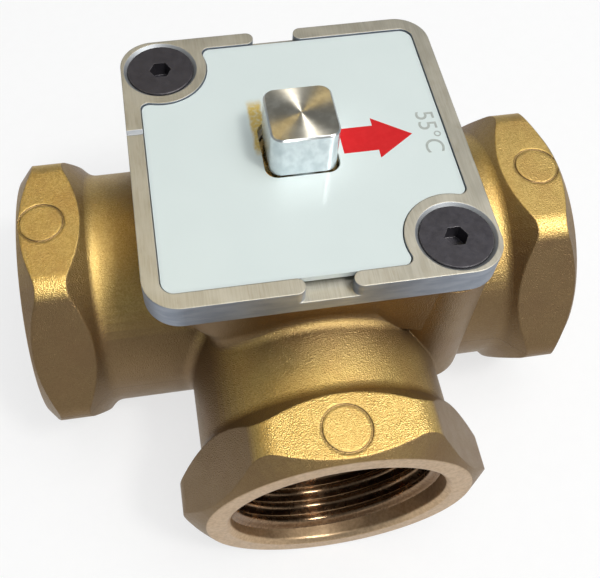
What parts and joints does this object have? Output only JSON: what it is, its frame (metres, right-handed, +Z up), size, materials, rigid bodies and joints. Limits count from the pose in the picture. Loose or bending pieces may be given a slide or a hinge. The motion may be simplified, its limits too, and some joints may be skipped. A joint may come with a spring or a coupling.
{
  "type": "thermostatic mixing valve",
  "caption": "Thermostatic mixing valve: forged brass T body with hexagonal female ports, square aluminium cover, label plate and square adjusting spindle.",
  "frame": {"origin": "centre of the flat pad under the body, on the spindle axis, level with the lower flats of the hexagonal ports", "axes": "+Z up along the adjusting spindle, +X out of the mixed-water port, -Y out of the hot inlet port, -X out of the cold inlet port"},
  "size_m": [0.088, 0.0701, 0.0607],
  "materials": {
    "forged_brass": "shot-blasted forging with machined faces",
    "milled_aluminium": "milled, fine grain",
    "fibre_gasket": "matte sheet",
    "label_sheet": "satin printed plate",
    "black_steel": "black oxide, slightly oily",
    "turned_steel": "turned end, milled sides",
    "turned_brass": "turned",
    "bearing_polymer": "natural",
    "moulded_polymer": "moulded",
    "seal_rubber": "smooth",
    "spring_steel": "drawn wire"
  },
  "bodies": {
    "valve": {"valve_body": "forged_brass", "cover_plate": "milled_aluminium", "cover_gasket": "fibre_gasket", "cover_screw_back_left": "black_steel", "cover_screw_front_right": "black_steel", "spindle_bush": "turned_brass", "thrust_washer": "bearing_polymer", "mixing_cage": "moulded_polymer", "cage_o_ring_upper": "seal_rubber", "cage_o_ring_middle": "seal_rubber", "cage_o_ring_lower": "seal_rubber", "upper_seat_ring": "spring_steel", "lower_seat_ring": "spring_steel"},
    "plate": {"label_plate": "label_sheet"},
    "adjuster": {"spindle": "turned_steel", "spindle_o_ring_lower": "seal_rubber", "spindle_o_ring_upper": "seal_rubber"},
    "nut": {"setting_nut": "turned_brass", "overtravel_spring": "spring_steel", "spring_cup": "turned_brass", "cup_retaining_ring": "spring_steel", "piston_rod": "spring_steel"},
    "slider": {"shuttle": "moulded_polymer", "shuttle_seal_ring": "bearing_polymer", "wax_capsule": "turned_brass", "capsule_nut": "turned_brass", "return_spring": "spring_steel"}
  },
  "joints": [
    {"name": "label_plate_lift", "type": "slide", "parent": "valve", "child": "plate", "axis": [0, 0, 1], "range_m": [0, 0.015]},
    {"name": "spindle_turn", "type": "hinge", "parent": "valve", "child": "adjuster", "pos_m": [0, 0, 0.047], "axis": [0, 0, 1], "range_deg": [-180, 180]},
    {"name": "setting_nut_travel", "type": "slide", "parent": "valve", "child": "nut", "axis": [0, 0, 1], "range_m": [-0.001, 0.001]},
    {"name": "shuttle_travel", "type": "slide", "parent": "valve", "child": "slider", "axis": [0, 0, 1], "range_m": [-0.0036, 0], "stiffness_N_per_m": 900, "springref_m": 0.003, "deforming": ["return_spring"]}
  ],
  "couplings": [
    {"joint": "spindle_turn", "follows": "setting_nut_travel", "rad_per_m": -3141.6}
  ]
}
